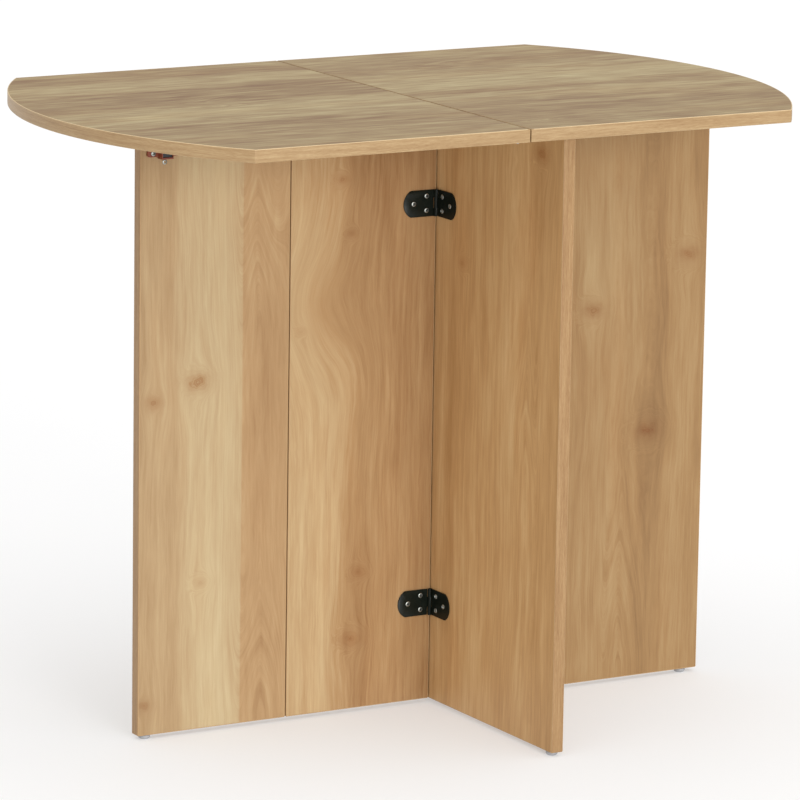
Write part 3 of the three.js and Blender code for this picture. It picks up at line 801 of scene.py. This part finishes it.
def build_boards():
    half_top("drop_leaf", "drop_leaf_band", wood_print(
        "drop_leaf", LENGTHWAYS,
        [(0.0, 0.50), (0.16, 0.48), (0.28, 0.47), (0.34, 0.57), (0.42, 0.65), (0.50, 0.58), (0.54, 0.42),
         (0.63, 0.39), (0.71, 0.42), (0.75, 0.58), (0.82, 0.63), (0.855, 0.57), (0.87, 0.40), (0.94, 0.43),
         (1.0, 0.53)],
        5.7, TOP_PALETTE, dashes=0.95,
        patches=[(175, 150, 8, 260, -0.18), (148, 330, 6, 160, -0.16), (60, 120, 14, 90, -0.10),
                 (255, 60, 10, 80, 0.10)],
        arches=[(332, 55, [(213, 55, -30)])],
    ))
    half_top("fixed_top", "fixed_top_band", wood_print(
        "fixed_top", LENGTHWAYS,
        [(0.0, 0.50), (0.12, 0.47), (0.21, 0.42), (0.27, 0.52), (0.33, 0.47), (0.37, 0.61), (0.42, 0.60),
         (0.455, 0.47), (0.50, 0.61), (0.60, 0.70), (0.68, 0.60), (0.74, 0.50), (0.79, 0.39), (0.84, 0.42),
         (0.87, 0.52), (1.0, 0.52)],
        3.1, TOP_PALETTE, dashes=0.95,
        patches=[(273, 190, 11, 190, -0.14), (180, 150, 9, 170, -0.16), (140, 200, 8, 190, -0.14),
                 (398, 370, 7, 60, -0.16), (538, 150, 12, 120, -0.10)],
        arches=[(486, 42, [(165, 50, -24)]), (80, 48, [(50, 50, 20)])],
    ))
    panel("gate_outer_panel", "gate_outer_band", 1, wood_print(
        "gate_outer_panel", UPRIGHT_X,
        [(0.0, 0.38), (0.12, 0.46), (0.24, 0.50), (0.32, 0.66), (0.46, 0.74), (0.58, 0.72), (0.68, 0.62),
         (1.0, 0.58)],
        13.3, LIGHT_PALETTE,
        planks=[(133, -0.14, 0.9)],
        patches=[(165, 440, 16, 150, -0.08), (40, 640, 16, 120, -0.12), (100, 60, 24, 120, 0.10)],
        knots=[(75, 415, 11, 0.9), (18, 395, 9, 0.7), (80, 175, 7, 0.35), (6, 35, 7, 0.8)],
        arches=[(156, 38, [(580, 80, 30), (85, 70, 26)])],
    ))
    panel("gate_inner_panel", "gate_inner_band", 1, wood_print(
        "gate_inner_panel", UPRIGHT_X,
        [(0.0, 0.72), (0.16, 0.76), (0.30, 0.70), (0.40, 0.54), (0.50, 0.37), (0.72, 0.36), (1.0, 0.32)],
        11.3, MIDDLE_PALETTE,
        bends=[(28, 492, 60, 72, 38), (90, 400, 45, 60, -12)],
        # the last patch, darker across the board's top, is a painted shadow from the top above
        patches=[(120, 330, 18, 120, 0.08), (150, 100, 16, 160, 0.10), (60, 650, 110, 70, -0.18)],
        knots=[(67, 640, 6, 0.6), (80, 575, 5, 0.4), (95, 165, 7, 0.5), (86, 85, 10, 0.7),
               (14, 463, 5, 0.3)],
    ))
    panel("centre_panel", "centre_panel_band", 0, wood_print(
        "centre_panel", UPRIGHT_Y,
        [(0.0, 0.44), (0.12, 0.50), (0.3, 0.54), (0.5, 0.5), (0.8, 0.52), (0.92, 0.56), (1.0, 0.64)],
        7.3, CENTRE_PALETTE,
        patches=[(243, 362, 10, 210, -0.26), (100, 560, 24, 160, 0.10), (30, 650, 22, 90, -0.14),
                 (180, 120, 30, 160, 0.08)],
        knots=[(46, 695, 9, 0.8), (220, 540, 6, 0.4)],
        arches=[(69, 36, [(395, 90, 20)])],
    ))
    panel("spine_panel", "spine_panel_band", 1, wood_print(
        "spine_panel", UPRIGHT_X,
        [(0.0, 0.5), (0.4, 0.5), (0.5, 0.56), (0.66, 0.56), (0.74, 0.44), (0.82, 0.46), (0.88, 0.60),
         (0.95, 0.54), (1.0, 0.46)],
        9.9, SPINE_PALETTE,
        patches=[(212, 525, 44, 90, 0.20), (279, 330, 14, 240, -0.18), (230, 200, 16, 160, 0.10),
                 (345, 640, 16, 100, -0.12)],
        knots=[(193, 460, 10, 0.8), (328, 519, 10, 0.8), (274, 305, 12, 0.8)],
        arches=[(240, 34, [(120, 90, 24)])],
    ))


# ---------- screws

def wedge(mouth, tip, top, bottom):
    """A tapered bar along X. mouth and tip are half its length and width, at z = top and z = bottom."""
    rings = []
    for (x, y), z in ((tip, bottom), (mouth, top)):
        rings.append([(*corner, z) for corner in rectangle(-x, -y, x, y)])
    bm = bmesh.new()
    loft(bm, rings)
    return bm


def screw_template(head, depth):
    """A countersunk screw with a cross recess, along +Z, with z = 0 on the face of what it holds."""
    dome = head * SCREW_DOME_SHARE
    shank = head * 0.57
    cone = head - shank
    rise = [math.pi / 2 * k / 6 for k in range(7)]
    profile = [(head * math.sin(a), dome * math.cos(a)) for a in rise]
    profile.append((shank, -cone))
    low = cone
    while low + THREAD_PITCH < depth:
        profile.append((shank * 1.08, -(low + THREAD_PITCH * 0.45)))
        profile.append((shank * 0.78, -(low + THREAD_PITCH)))
        low += THREAD_PITCH
    profile.append((0.0, -(low + (0.4 * MM if depth > cone else 0.0))))
    screw = solid("screw_template", lathe_bmesh(profile, 28))
    for turn in (0.0, math.pi / 2):
        slot = wedge((head * 0.68, head * 0.29), (head * 0.36, head * 0.16), dome * 1.4, -head * 0.5)
        bmesh.ops.rotate(slot, verts=slot.verts, cent=(0, 0, 0), matrix=Matrix.Rotation(turn, 3, "Z"))
        boolean(screw, [solid("recess", slot)], "DIFFERENCE")
    shaded(screw, 34.0)
    template = screw.data
    # faces inside the cross recess take the second material, a near-black painted shade for the hollow
    for face in template.polygons:
        side = math.hypot(face.center.x, face.center.y)
        in_recess = face.center.z < dome * (1 - side / head) - 0.05 * MM and side < head * 0.66
        face.material_index = 1 if in_recess and face.center.z > -head * 0.55 else 0
    bpy.data.objects.remove(screw)
    return template


def add_screw(name, template, face, outward, body, node=None):
    """One screw on the point `face`, its head looking along `outward`. Each is turned by its own angle."""
    outward = Vector(outward)
    side = outward.orthogonal().normalized()
    turn = Matrix.Rotation(len(bpy.data.objects) * SCREW_TURN, 3, outward)
    side = turn @ side
    screw = make_object(name, template.copy())
    lay(screw, axes_matrix(face, side, outward.cross(side), outward))
    if node:
        stand_for(screw, BRIGHT_STEEL, node)
    else:
        attach(screw, BRIGHT_STEEL, body)
    # second material: the painted shade of the cross recess
    screw.data.materials.append(RECESS_PAINTED_SHADE)


def countersinks(places, sheet, front):
    """Cutters for screw holes: cones with their mouths at y = front, running `sheet` deep along +Y."""
    bm = bmesh.new()
    spare = 0.3 * MM
    ends = ((SCREW_HEAD * 1.04 + spare, front - spare), (SCREW_HEAD * 0.6, front + sheet + spare))
    for x, z in places:
        loft(bm, [[(u, y, v) for u, v in circle_points(x, z, radius)] for radius, y in ends])
    return solid("cutter", bm)


# ---------- hinges

def leaf_end(length, half, bow):
    """(x, z) points round the far end of a hinge leaf, from its lower straight edge to its upper one."""
    if bow <= 0:
        flat = rectangle(0, -half, length, half)
        return rounded_corners(flat, lambda x, z: PLATE_CORNER if x > 0 else 0.0)[1:-1]
    radius = (half ** 2 + bow ** 2) / (2 * bow)
    middle = length - radius
    fillet_z = half - HINGE_FILLET
    fillet_x = middle + math.sqrt((radius - HINGE_FILLET) ** 2 - fillet_z ** 2)
    meet = math.atan2(fillet_z, fillet_x - middle)
    points = []
    for centre, arc, start, stop, steps in (
        ((fillet_x, -fillet_z), HINGE_FILLET, -math.pi / 2, -meet, 6),
        ((middle, 0.0), radius, -meet, meet, 24),
        ((fillet_x, fillet_z), HINGE_FILLET, meet, math.pi / 2, 6),
    ):
        for k in range(steps):
            angle = start + (stop - start) * k / steps
            points.append((centre[0] + arc * math.cos(angle), centre[1] + arc * math.sin(angle)))
    return points + [(fillet_x, half)]


def hinge_leaf(length, height, bow, knuckle, owns_middle, screws):
    """One leaf of folded sheet metal: a flat with tongues that roll round the pin.

    The pin runs along Z through the origin and the leaf along +X. Its back is at y = knuckle.
    """
    half = height / 2
    notch = knuckle + NOTCH_ROOM
    if owns_middle:
        edge = half * MIDDLE_KNUCKLE - KNUCKLE_PLAY
        inner = [(notch, half), (notch, edge), (0, edge), (0, -edge), (notch, -edge), (notch, -half)]
        tongues = [(2, 3)]
    else:
        edge = half * MIDDLE_KNUCKLE + KNUCKLE_PLAY
        inner = [(0, half), (0, edge), (notch, edge), (notch, -edge), (0, -edge), (0, -half)]
        tongues = [(0, 1), (4, 5)]
    bm = bmesh.new()
    outline = [bm.verts.new((x, knuckle, z)) for x, z in leaf_end(length, half, bow) + inner]
    bm.faces.new(outline)
    inner_verts = outline[-len(inner):]
    for top, bottom in tongues:
        root = (inner_verts[top], inner_verts[bottom])
        row = root
        for k in range(1, ROLL_STEPS + 1):
            angle = math.radians(90 + ROLL * k / ROLL_STEPS)
            x, y = knuckle * math.cos(angle), knuckle * math.sin(angle)
            following = [bm.verts.new((x, y, v.co.z)) for v in root]
            bm.faces.new((row[0], row[1], following[1], following[0]))
            row = following
    bmesh.ops.recalc_face_normals(bm, faces=bm.faces)
    flat = max(bm.faces, key=lambda face: face.calc_area())
    if flat.normal.y < 0:
        bmesh.ops.reverse_faces(bm, faces=bm.faces)
    mesh = bpy.data.meshes.new("hinge_leaf")
    bm.to_mesh(mesh)
    bm.free()
    leaf = make_object("hinge_leaf", mesh)
    step = leaf.modifiers.new("sheet", "SOLIDIFY")
    step.thickness = SHEET
    step.offset = -1.0
    step.use_even_offset = True
    applied(leaf)
    boolean(leaf, [countersinks(screws, SHEET, knuckle - SHEET)], "DIFFERENCE")
    return bevelled(leaf, SHEET_ROUND)


def hinge_pin(hinge, direction, material):
    """A pin with slightly domed ends, placed by the box of its CAD node."""
    node = f"{hinge}_pin"
    low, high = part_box(node)
    side = direction.orthogonal().normalized()
    length = (high - low).dot(direction)
    radius = (high - low).dot(side) / 2
    dome = 0.35 * MM
    profile = [(0.0, 0.0), (radius * 0.6, dome * 0.25), (radius, dome), (radius, length - dome),
               (radius * 0.6, length - dome * 0.25), (0.0, length)]
    pin = solid(f"{hinge}_rod", lathe_bmesh(profile, 24), 50.0)
    base = box_middle(node) - direction * length / 2
    lay(pin, axes_matrix(base, side, direction.cross(side), direction))
    stand_for(pin, material, node)


def place_leaf(hinge, part, axes, shape, material, screw_nodes=()):
    """Builds the leaf that stands for a CAD node, and its screws.

    axes: which way the leaf runs from the pin, which way its back looks, and the pin's direction.
    shape: (bow of its end, outer radius of the knuckle, owns the middle knuckle, screw places).
    """
    along, back, pin_axis = axes
    bow, knuckle, owns_middle, screws = shape
    pin = box_middle(f"{hinge}_pin")
    node = f"{hinge}_{part}_leaf"
    low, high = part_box(node)
    length = max((low - pin).dot(along), (high - pin).dot(along))
    height = abs((high - low).dot(pin_axis))
    leaf = hinge_leaf(length, height, bow, knuckle, owns_middle, screws)
    leaf.name = f"{hinge}_{part}_plate"
    lay(leaf, axes_matrix(pin, along, back, pin_axis))
    stand_for(leaf, material, node)
    for i, (x, z) in enumerate(screws):
        face = pin + along * x + back * (knuckle - SHEET) + pin_axis * z
        name = f"{hinge}_{part}_screw_{i + 1}"
        if screw_nodes:
            add_screw(name, LONG_SCREW, face, -back, None, screw_nodes[i])
        else:
            add_screw(name, SHORT_SCREW, face, -back, body_of(node))


def corner_hinge(where, panel_owns_middle):
    """Black, with bowed ends: one leaf on the gate's face and one on the centre panel's."""
    hinge = f"corner_hinge_{where}"
    for part, along, back, owns_middle in (
        ("gate", -X, Y, not panel_owns_middle),
        ("panel", -Y, X, panel_owns_middle),
    ):
        shape = (HINGE_END_BOW, CORNER_KNUCKLE, owns_middle, CORNER_SCREWS)
        nodes = [f"screw_{where}_{part}_{place}" for place in ("top", "bottom", "end")]
        place_leaf(hinge, part, (along, back, Z), shape, PAINT, nodes)
    hinge_pin(hinge, Z, PAINT)


def butt_hinge(hinge, back, pin_axis, leaves):
    """Bare steel, square-ended. leaves holds (part, direction, owns the middle knuckle)."""
    for part, along, owns_middle in leaves:
        shape = (0.0, FLAT_KNUCKLE, owns_middle, BUTT_SCREWS)
        place_leaf(hinge, part, (along, back, pin_axis), shape, STEEL)
    hinge_pin(hinge, pin_axis, STEEL)


# ---------- brackets

def angle_bracket(node, leg_a, leg_b):
    """A bent steel angle in the corner that leg_a and leg_b leave at right angles, with four screws."""
    low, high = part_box(node)
    width_axis = leg_a.cross(leg_b)
    corner = (low + high) / 2
    for i in range(3):
        lean = (leg_a + leg_b)[i]
        if abs(lean) > 0.5:
            corner[i] = low[i] if lean > 0 else high[i]
    length = abs((high - low).dot(leg_a))
    width = abs((high - low).dot(width_axis))
    section = [(0, 0), (length, 0), (length, BRACKET_SHEET), (BRACKET_SHEET, BRACKET_SHEET),
               (BRACKET_SHEET, length), (0, length)]

    def bend(x, y):
        if x == 0 and y == 0:
            return BRACKET_SHEET * 1.5
        return BRACKET_SHEET * 0.5 if x == BRACKET_SHEET and y == BRACKET_SHEET else 0.0

    bm = plate_bmesh(rounded_corners(section, bend), [], width)
    bmesh.ops.translate(bm, verts=bm.verts, vec=(0, 0, -width / 2))
    ends = []
    for edge in bm.edges:
        a, b = edge.verts[0].co, edge.verts[1].co
        at_end = max(a.x, a.y) > length - MM and max(b.x, b.y) > length - MM
        if at_end and abs(a.z - b.z) < 1e-6 and abs((a - b).length - BRACKET_SHEET) < 0.1 * MM:
            ends.append(edge)
    bmesh.ops.bevel(bm, geom=ends, offset=BRACKET_END_CORNER, segments=6, profile=0.5, affect="EDGES")
    piece = solid(f"{node}_angle", bm)
    holes_a = countersinks([(x, 0.0) for x in BRACKET_SCREWS], BRACKET_SHEET, -BRACKET_SHEET)
    lay(holes_a, axes_matrix(Vector(), X, -Y, Z))
    holes_b = make_object("cutter", holes_a.data.copy())
    lay(holes_b, axes_matrix(Vector(), Y, X, Z))
    boolean(piece, [holes_a, holes_b], "DIFFERENCE")
    bevelled(piece, 0.2 * MM)
    lay(piece, axes_matrix(corner, leg_a, leg_b, width_axis))
    stand_for(piece, STEEL, node)
    for k, reach in enumerate(BRACKET_SCREWS):
        for leg, run, outward in (("a", leg_a, leg_b), ("b", leg_b, leg_a)):
            face = corner + run * reach + outward * BRACKET_SHEET
            add_screw(f"{node}_screw_{leg}{k + 1}", SHORT_SCREW, face, outward, body_of(node))


# ---------- glides

def glide(node):
    """A moulded foot with a sunk nail."""
    low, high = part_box(node)
    radius = (high.x - low.x) / 2
    height = high.z - low.z
    sunk = 1.2 * MM
    profile = [(0.0, sunk), (radius * 0.30, sunk), (radius * 0.34, 0.3 * MM), (radius * 0.40, 0.0)]
    for k in range(7):
        angle = math.pi / 2 * k / 6
        profile.append((radius * (0.62 + 0.38 * math.sin(angle)), height * 0.6 * (1 - math.cos(angle))))
    profile += [(radius, height * 0.92), (radius * 0.95, height), (0.0, height)]
    foot = solid(f"{node}_foot", lathe_bmesh(profile, 40), 50.0)
    place = Vector(((low.x + high.x) / 2, (low.y + high.y) / 2, low.z))
    lay(foot, Matrix.Translation(place))
    stand_for(foot, PALE_PLASTIC, node)
    head = radius * 0.26
    profile = [(0.0, 0.5 * MM), (head * 0.7, 0.6 * MM), (head, 0.9 * MM), (head, sunk), (0.0, sunk)]
    nail = solid(f"{node}_nail", lathe_bmesh(profile, 24), 50.0)
    lay(nail, Matrix.Translation(place))
    attach(nail, STEEL, body_of(node))


# ---------- magnetic catch

def rounded_box(name, low, high, radius=0.0):
    bm = bmesh.new()
    bmesh.ops.create_cube(bm, size=1.0)
    bmesh.ops.scale(bm, verts=bm.verts, vec=high - low)
    bmesh.ops.translate(bm, verts=bm.verts, vec=(high + low) / 2)
    if radius > 0:
        bmesh.ops.bevel(bm, geom=bm.edges, offset=radius, segments=2, profile=0.5, affect="EDGES")
    return solid(name, bm, 50.0)


def catch():
    """The brown housing on the outer gate board, with its steel yoke, magnet and screws."""
    low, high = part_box("catch_body")
    middle = (low.x + high.x) / 2
    half = CATCH_BLOCK / 2
    back = high.y
    bottom = low.z + CATCH_FLANGE_LIFT
    top = bottom + CATCH_FLANGE_HEIGHT
    flange = rounded_corners(rectangle(low.x, bottom, high.x, top), lambda x, z: CATCH_FLANGE_CORNER)
    body = solid("catch_housing", plate_bmesh(flange, [], CATCH_FLANGE_SHEET))
    lay(body, axes_matrix(Vector((0, back, 0)), X, Z, -Y))
    block_low = Vector((middle - half, low.y, low.z))
    block = rounded_box("block", block_low, Vector((middle + half, back, high.z)))
    boolean(body, [block], "UNION")

    yoke_low, yoke_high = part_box("catch_yoke")
    pocket_high = yoke_high + Vector((CLEAR, CLEAR, 5 * MM))
    pocket = rounded_box("pocket", yoke_low - Vector((CLEAR, CLEAR, CLEAR)), pocket_high)
    window_low = Vector((middle - half + CATCH_WALL, low.y - MM, low.z + CATCH_SILL))
    window_back = low.y + CATCH_WINDOW_DEPTH
    window_high = Vector((middle + half - CATCH_WALL, window_back, high.z - CATCH_LINTEL))
    window = rounded_box("window", window_low, window_high)
    centres = [box_middle(node) for node in ("screw_catch_left", "screw_catch_right")]
    holes = [(centre.x, centre.z) for centre in centres]
    cones = countersinks(holes, CATCH_FLANGE_SHEET, back - CATCH_FLANGE_SHEET)
    boolean(body, [pocket, window, cones], "DIFFERENCE")
    # painted shade: a dark block sits in the window so that its inside reads dark
    shade_block_low = Vector((window_low.x + CLEAR, low.y + 1.2 * MM, window_low.z + CLEAR))
    shade_block_high = Vector((window_high.x - CLEAR, window_back + 0.1 * MM, yoke_low.z - 1.5 * MM))
    shade_block = rounded_box("catch_shade_block", shade_block_low, shade_block_high, 0.15 * MM)
    attach(shade_block, MAGNET, body_of("catch_body"))
    bevelled(body, 0.35 * MM, 60.0, 3)
    stand_for(body, BROWN_PLASTIC, "catch_body")

    yoke = rounded_box("catch_poles", yoke_low, yoke_high)
    magnet_low, magnet_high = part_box("catch_magnet")
    room_high = magnet_high + Vector((CLEAR, 5 * MM, 9 * MM))
    room = rounded_box("room", magnet_low - Vector((CLEAR, 5 * MM, CLEAR)), room_high)
    boolean(yoke, [room], "DIFFERENCE")
    bevelled(yoke, 0.2 * MM)
    stand_for(yoke, STEEL, "catch_yoke")
    block = rounded_box("catch_magnet_block", magnet_low, magnet_high, 0.4 * MM)
    stand_for(shaded(block), MAGNET, "catch_magnet")
    for node, name in (("screw_catch_left", "catch_screw_1"), ("screw_catch_right", "catch_screw_2"),
                       ("catch_stop_screw", "catch_stop")):
        face = box_middle(node)
        face.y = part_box(node)[0].y + SCREW_HEAD * SCREW_DOME_SHARE
        add_screw(name, LONG_SCREW, face, -Y, None, node)


def strike_plate():
    low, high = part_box("strike_plate")
    middle = box_middle("strike_plate")
    width, depth, sheet = high - low
    reach = width * PLATE_SCREW_PLACE
    corners = rectangle(-width / 2, -depth / 2, width / 2, depth / 2)
    outline = rounded_corners(corners, lambda x, y: PLATE_CORNER)
    holes = [circle_points(x, 0.0, PLATE_SCREW_HEAD * 0.8) for x in (-reach, reach)]
    plate = solid("strike_plate_sheet", plate_bmesh(outline, holes, sheet))
    bevelled(plate, SHEET_ROUND)
    lay(plate, Matrix.Translation((middle.x, middle.y, low.z)))
    stand_for(plate, STEEL, "strike_plate")
    for i, x in enumerate((-reach, reach)):
        face = Vector((middle.x + x, middle.y, low.z + 0.35 * MM))
        add_screw(f"strike_plate_screw_{i + 1}", PLATE_SCREW, face, -Z, "leaf")


# ---------- floor, lights, camera

def build_stage():
    bm = bmesh.new()
    bmesh.ops.create_circle(bm, cap_ends=True, radius=FLOOR_RADIUS, segments=96)
    floor = solid("floor", bm)
    g = Graph("floor_white")
    shade = g.noise(g.vector(*g.axes()), 3.0, 2.0, 0.5)
    g.surface(g.mix(shade, (0.54, 0.54, 0.54), (0.55, 0.55, 0.55)), 0.9)
    g.shader.inputs["Emission Color"].default_value = (1.0, 1.0, 1.0, 1.0)
    g.shader.inputs["Emission Strength"].default_value = FLOOR_GLOW
    floor.data.materials.append(g.material)

    world = bpy.data.worlds.new("studio")
    bpy.context.scene.world = world
    world.use_nodes = True
    background = world.node_tree.nodes["Background"]
    background.inputs[0].default_value = (1.0, 1.0, 1.0, 1)
    background.inputs[1].default_value = WORLD_STRENGTH
    for name, strength, spread, elevation, heading in SUNS:
        light = bpy.data.lights.new(name, "SUN")
        light.energy = strength
        light.angle = math.radians(spread)
        lamp = bpy.data.objects.new(name, light)
        lamp.rotation_euler = Euler((math.radians(90 - elevation), 0, math.radians(heading)))
        bpy.context.scene.collection.objects.link(lamp)


def build_camera():
    data = bpy.data.cameras.new("camera")
    data.sensor_width = 36.0
    data.lens = CAMERA_LENS
    data.clip_end = 200.0
    camera = bpy.data.objects.new("camera", data)
    yaw, pitch, roll = (math.radians(a) for a in (CAMERA_YAW, CAMERA_PITCH, CAMERA_ROLL))
    forward = Vector((math.sin(yaw) * math.cos(pitch), math.cos(yaw) * math.cos(pitch), -math.sin(pitch)))
    level = Vector((math.cos(yaw), -math.sin(yaw), 0))
    upward = level.cross(forward)
    right = level * math.cos(roll) + upward * math.sin(roll)
    up = upward * math.cos(roll) - level * math.sin(roll)
    camera.matrix_world = Matrix((
        (right.x, up.x, -forward.x, CAMERA_PLACE[0]),
        (right.y, up.y, -forward.y, CAMERA_PLACE[1]),
        (right.z, up.z, -forward.z, CAMERA_PLACE[2]),
        (0, 0, 0, 1),
    ))
    bpy.context.scene.collection.objects.link(camera)
    bpy.context.scene.camera = camera


bpy.context.scene.view_settings.view_transform = "Standard"

build_camera()
build_stage()

TOP_BAND = band_material("top_band", 1.0, TOP_BAND_PALETTE)
PANEL_BAND = band_material("panel_band", 6.0, PANEL_BAND_PALETTE)
PAINT = black_paint()
STEEL = metal("zinc_steel", (0.62, 0.62, 0.60), 0.38, 0.0)
BRIGHT_STEEL = metal("screw_steel", (0.50, 0.52, 0.49), 0.44, 5.0)
# near-black painted shade for the screws' cross recesses
RECESS_PAINTED_SHADE = plastic("recess_painted_shade", linear(26, 26, 24), linear(40, 40, 37), 0.6, 400.0)
BROWN_PLASTIC = plastic("brown_plastic", linear(104, 42, 22), linear(136, 62, 34), 0.42, 60.0)
PALE_PLASTIC = plastic("pale_plastic", linear(150, 151, 154), linear(168, 169, 172), 0.45, 90.0)
MAGNET = plastic("magnet_black", linear(34, 34, 37), linear(54, 54, 58), 0.6, 400.0)
LONG_SCREW = screw_template(SCREW_HEAD, SCREW_DEPTH)
SHORT_SCREW = screw_template(SCREW_HEAD, 0.0)
PLATE_SCREW = screw_template(PLATE_SCREW_HEAD, 0.0)

build_boards()
corner_hinge("upper", True)
corner_hinge("lower", False)
for where in ("upper", "lower"):
    butt_hinge(f"fold_hinge_{where}", -Y, Z, (("inner", X, False), ("outer", -X, True)))
for where in ("front", "back"):
    butt_hinge(f"top_hinge_{where}", Z, Y, (("fixed", X, False), ("drop", -X, True)))
for where in ("front", "back"):
    angle_bracket(f"top_bracket_centre_{where}", X, -Z)
angle_bracket("top_bracket_spine_front", -Y, -Z)
angle_bracket("top_bracket_spine_back", Y, -Z)
for where in ("upper", "lower"):
    angle_bracket(f"spine_bracket_{where}", X, Y)
for where in ("centre_front", "centre_back", "spine", "gate"):
    glide(f"glide_{where}")
catch()
strike_plate()
